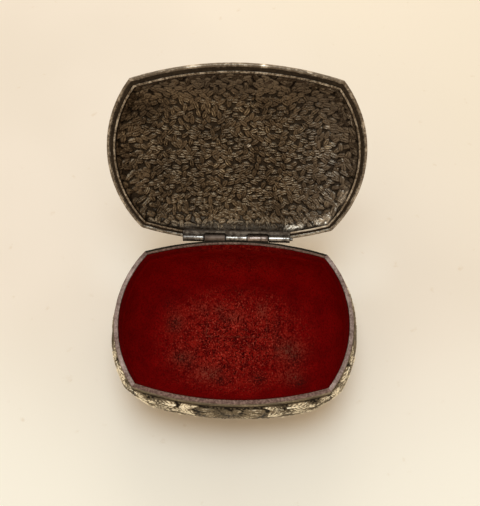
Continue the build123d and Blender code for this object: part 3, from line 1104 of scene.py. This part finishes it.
# Outside: a rosette in an oval of beads, with foliage round it
outer_art, lid_relief = Relief(art_x, art_y), 0.7
for k in range(14):
    turn = k * math.tau / 14
    petal = 6.6 + 1.6 * abs(math.cos(turn))
    outer_art.leaf(1.4 * math.cos(turn), 1.1 * math.sin(turn), petal, 2.6, turn, lid_relief)
for k in range(9):
    turn = k * math.tau / 9 + 0.2
    x, y = 0.6 * math.cos(turn), 0.6 * math.sin(turn)
    outer_art.leaf(x, y, 3.6, 1.7, turn, lid_relief * 1.15)
outer_art.bead(0, 0, 1.4, lid_relief * 1.25)
for k in range(56):
    turn = k * math.tau / 56
    outer_art.bead(12.6 * math.cos(turn), 9.4 * math.sin(turn), 0.55, lid_relief * 0.7)
# In each quarter: x, y, reach, first turn, last turn, width
lid_scrolls = (
    (17.5, 13.2, 4.8, 3.4, -2.2, 1.7),
    (27.0, 5.2, 4.4, 2.6, -3.0, 1.6),
    (7.6, 17.6, 4.0, -2.4, 3.2, 1.5),
)
# And x, y, length, turn, bend
lid_fronds = (
    (3.2, 12.2, 8.6, 0.75, -0.7),
    (13.8, 9.2, 7.6, 1.9, -0.6),
    (20.0, 9.2, 8.4, 0.1, 0.9),
    (21.6, 15.2, 8.0, 0.5, -0.5),
    (13.0, 18.6, 8.0, 0.05, 0.3),
)
for side in (-1, 1):
    for end in (-1, 1):
        def away(angle):
            return (angle if side > 0 else math.pi - angle) * end

        for x, y, reach, turn, last, width in lid_scrolls:
            outer_art.scroll(side * x, end * y, reach, away(turn), away(last), width, lid_relief)
        for x, y, length, turn, bend in lid_fronds:
            outer_art.frond(side * x, end * y, length, away(turn), side * end * bend, lid_relief)
    turn = 0 if side > 0 else math.pi
    outer_art.frond(side * 16.0, 0, 9.4, turn, 0, lid_relief * 1.05, leaflets=6)
    outer_art.frond(0, side * 12.0, 9.2, side * math.pi / 2, 0, lid_relief * 1.05, leaflets=6)
for (ax, ay), (bx, by) in zip(outline(-3.4, 24, 16), outline(-2.4, 24, 16)):
    outer_art.leaf(ax, ay, 3.3, 2.3, math.atan2(by - ay, bx - ax), lid_relief * 0.8)
for x, y in outline(-4.3, 34, 24):
    outer_art.bead(x, y, 0.5, lid_relief * 0.7)
outer_art.fill(82, 0.8 * lid_relief)

lid_mesh = closed_mesh("lid_normals", lid_points, lid_faces)
lid_out = np.empty(len(lid_points) * 3, np.float32)
lid_mesh.vertex_normals.foreach_get("vector", lid_out)
lid_out = lid_out.reshape(-1, 3).astype(float)
bpy.data.meshes.remove(lid_mesh)


def ring_lumps(seed, passes):
    """Smooth random values all over the lid's rings, and none on its caps."""
    field = lumps((ring_rows, ring_columns), seed, passes).ravel()
    return np.concatenate([field, np.zeros(2 * cap_count)])


# Where each point lies, how far it is raised, how far it is worn and where light is painted
rows, on_cap = np.repeat(np.arange(ring_rows), ring_columns), np.ones(cap_count, bool)
on_outside = np.concatenate([rows < outside_rows, on_cap, ~on_cap])
on_inside = np.concatenate([rows >= ring_rows - len(hollow), ~on_cap, on_cap])
inset = np.concatenate([lid_section[rows, 0], np.full(2 * cap_count, lid_section[0, 0])])
plan = lid_points[:, :2]
plan_x, plan_y = plan.T
in_hollow = on_inside & (inset < -0.1)
hinge_side = np.clip((plan_y - 22.0) / 3.0, 0, 1)
seed_share = np.clip((-inset - 0.1) / 0.6, 0, 1) * (1 - 0.85 * hinge_side)
slope_share = np.clip((-inset - 0.4) / 0.8, 0, 1) * hinge_side
marks = np.tile(np.abs(lumps((ring_columns,), 71, 1)), ring_rows)
marks = np.concatenate([marks, np.zeros(2 * cap_count)])
pits = np.abs(ring_lumps(74, 1))
seed_rise = inner_art.at(plan_x, plan_y) * seed_share + (0.08 * marks + 0.3 * pits) * slope_share
seed_rise = np.where(in_hollow, seed_rise, 0)
sink = seed_sink * np.maximum(seed_share, 0.6 * slope_share) * in_hollow
leaf_rise = outer_art.at(plan_x, plan_y) * np.clip((0.6 - inset) / 1.2, 0, 1)
leaf_rise = np.where(on_outside, leaf_rise, 0)
wobble = ring_lumps(72, 5) * 0.05
wobble[ring_count:] = rng.uniform(-0.02, 0.02, 2 * cap_count)
lid_points = lid_points + lid_out * (seed_rise - sink + leaf_rise + wobble)[:, None]

far_side = np.clip((-plan_y - 10) / 15, 0, 1)
chips = np.clip(ring_lumps(73, 7) * 2.2, 0, 1)
on_bead = (inset > 1.5) & ~on_outside
on_lip = (inset < 0.59) & (inset > -0.04)
# Lighter streaks along the right inner wall of the lid.
corner_streaks = blots(plan, [
    (36.5, 0, 3, 7, 0.55), (34.6, 13.5, 4, 6, 1.0), (29, 21.7, 5, 4, 1.15), (19.5, 25, 5, 3, 0.85),
    (28.6, -21.4, 5, 4, 0.7), (34.2, -14.5, 3, 7, 0.7),
])
corner_streaks = 0.9 * corner_streaks * np.exp(-(((inset + 0.9) / 1.1) ** 2)) * (~on_outside)
# Painted glints along the bead's far edge, where its relief catches the light.
bead_glints = blots(plan, [
    (-31, -27.5, 2.6, 2.4, 1.7), (-21.5, -28.5, 1.3, 1.6, 1.5), (-13, -29.3, 2.8, 1.2, 1.7),
    (7.8, -29.3, 1.2, 1.4, 1.3), (21, -28.3, 1.4, 1.6, 1.3), (29, -27, 1.2, 1.6, 1.2),
])
bare = blots(plan, [(3.8, -1.9, 0.9, 0.6, 1.0), (27.9, -8.6, 0.9, 0.6, 0.8)]) * on_inside
# A lighter bead and lip near the right corner on the hinge side.
near_corner = blots(plan, [(24, 24, 8, 5, 1.0)])
# The bead's outer half is painted lighter as a highlight on its round, and painted darker towards
# the far side.
bead_shine = np.maximum(0.46 - 0.12 * far_side + 0.3 * chips + 0.3 * near_corner, bead_glints)
# The lip's thin line and the outside foliage's crests are lightened: wear and painted highlight.
lip_shine = 0.48 + 0.3 * chips + 0.7 * near_corner
crest_shine = 1.2 * np.clip(leaf_rise / lid_relief - 0.42, 0, 0.4) / 0.4
shine = np.maximum.reduce(
    [corner_streaks, on_bead * bead_shine, bare, on_lip * lip_shine, crest_shine]
)
outside_rise = np.maximum(
    0.04 + 0.96 * leaf_rise / lid_relief, 0.42 * np.clip((inset + 0.6) / 0.6, 0, 1)
)
# On the hinge side the slope is kept low so that it darkens: painted shade.
inside_rise = slope_share * (0.08 + 0.3 * marks + 0.4 * pits)
inside_rise = np.maximum(seed_rise / seed_height, inside_rise) - 0.2 * slope_share
# The channel between bead and lip is kept low so that it darkens: painted shade.
edge_rise = np.where((inset > 0.6) & (inset < 1.72), 0.05, 0.5)
rise_share = np.select([on_outside, on_inside], [outside_rise, inside_rise], edge_rise)
# Painted light: inside, the far side and the right side are painted paler; outside and on the
# bead, a flat paler tone.
pale = np.maximum(
    0.55 * np.clip((-plan_y - 17) / 8, 0, 1), 0.5 * np.clip((plan_x - 14) / 16, 0, 1)
)
pale = np.where(on_outside | on_bead, 0.5, pale * on_inside)

lid_finish = Finish("tarnished_lid_metal", {"Metallic": 0.85, "Specular IOR Level": 0.4})
lid_grime = lid_finish.noise(8, detail=5.0)
lid_fine = lid_finish.noise(0.6, detail=4.0, rough=0.6)
lid_rise, lid_shine = lid_finish.stored("rise"), lid_finish.stored("shine")
# Crests of the seeds and foliage are painted light as highlights.
high = (lid_rise + lid_fine * 0.6 - 0.3 + lid_grime * 0.5 - 0.25).band(0.78, 1.06)
# Low ground between seeds and leaves, and the channel, darkened almost to black: painted shade.
deep = (1 - (lid_rise + lid_fine * 0.2 - 0.1).band(0.05, 0.3)) * 0.8
# Where shine is stored the metal is lightened, partly rub and partly painted highlight; above 1,
# almost to white, as painted glints.
rub = (lid_shine * (lid_fine * 2.4 - 0.2)).band(0.3, 0.95)
tone = (lid_grime * 0.4 + lid_fine * 0.6).band(0.38, 0.62)
lid_colour = lid_finish.layered(
    lid_finish.mix(tone, paint(66, 53, 39), paint(106, 88, 67)),
    (lid_finish.stored("pale"), paint(112, 100, 87)),
    (deep, paint(18, 12, 7)),
    (high, paint(188, 166, 132)),
    (rub, paint(184, 170, 152)),
    (lid_shine.band(1.0, 1.4), paint(255, 250, 238)),
)
lid_finish.feed({
    "Base Color": lid_colour,
    "Roughness": 0.34 - rub * 0.04 + lid_fine * 0.12,
    "Normal": lid_finish.bump(lid_fine, 0.04),
})

# Swung open about the pin
across, out, up = (lid_points - np.array([0, hinge_y, hinge_z - rim_height])).T
opened = np.column_stack([
    across,
    hinge_y - out * lid_back + up * lid_side,
    hinge_z - out * lid_side - up * lid_back,
])
lid_values = {"rise": rise_share, "shine": shine, "pale": pale}
make_piece(
    "lid_casting", "lid", opened, lid_faces, lid_finish, "lid", lid_values
)
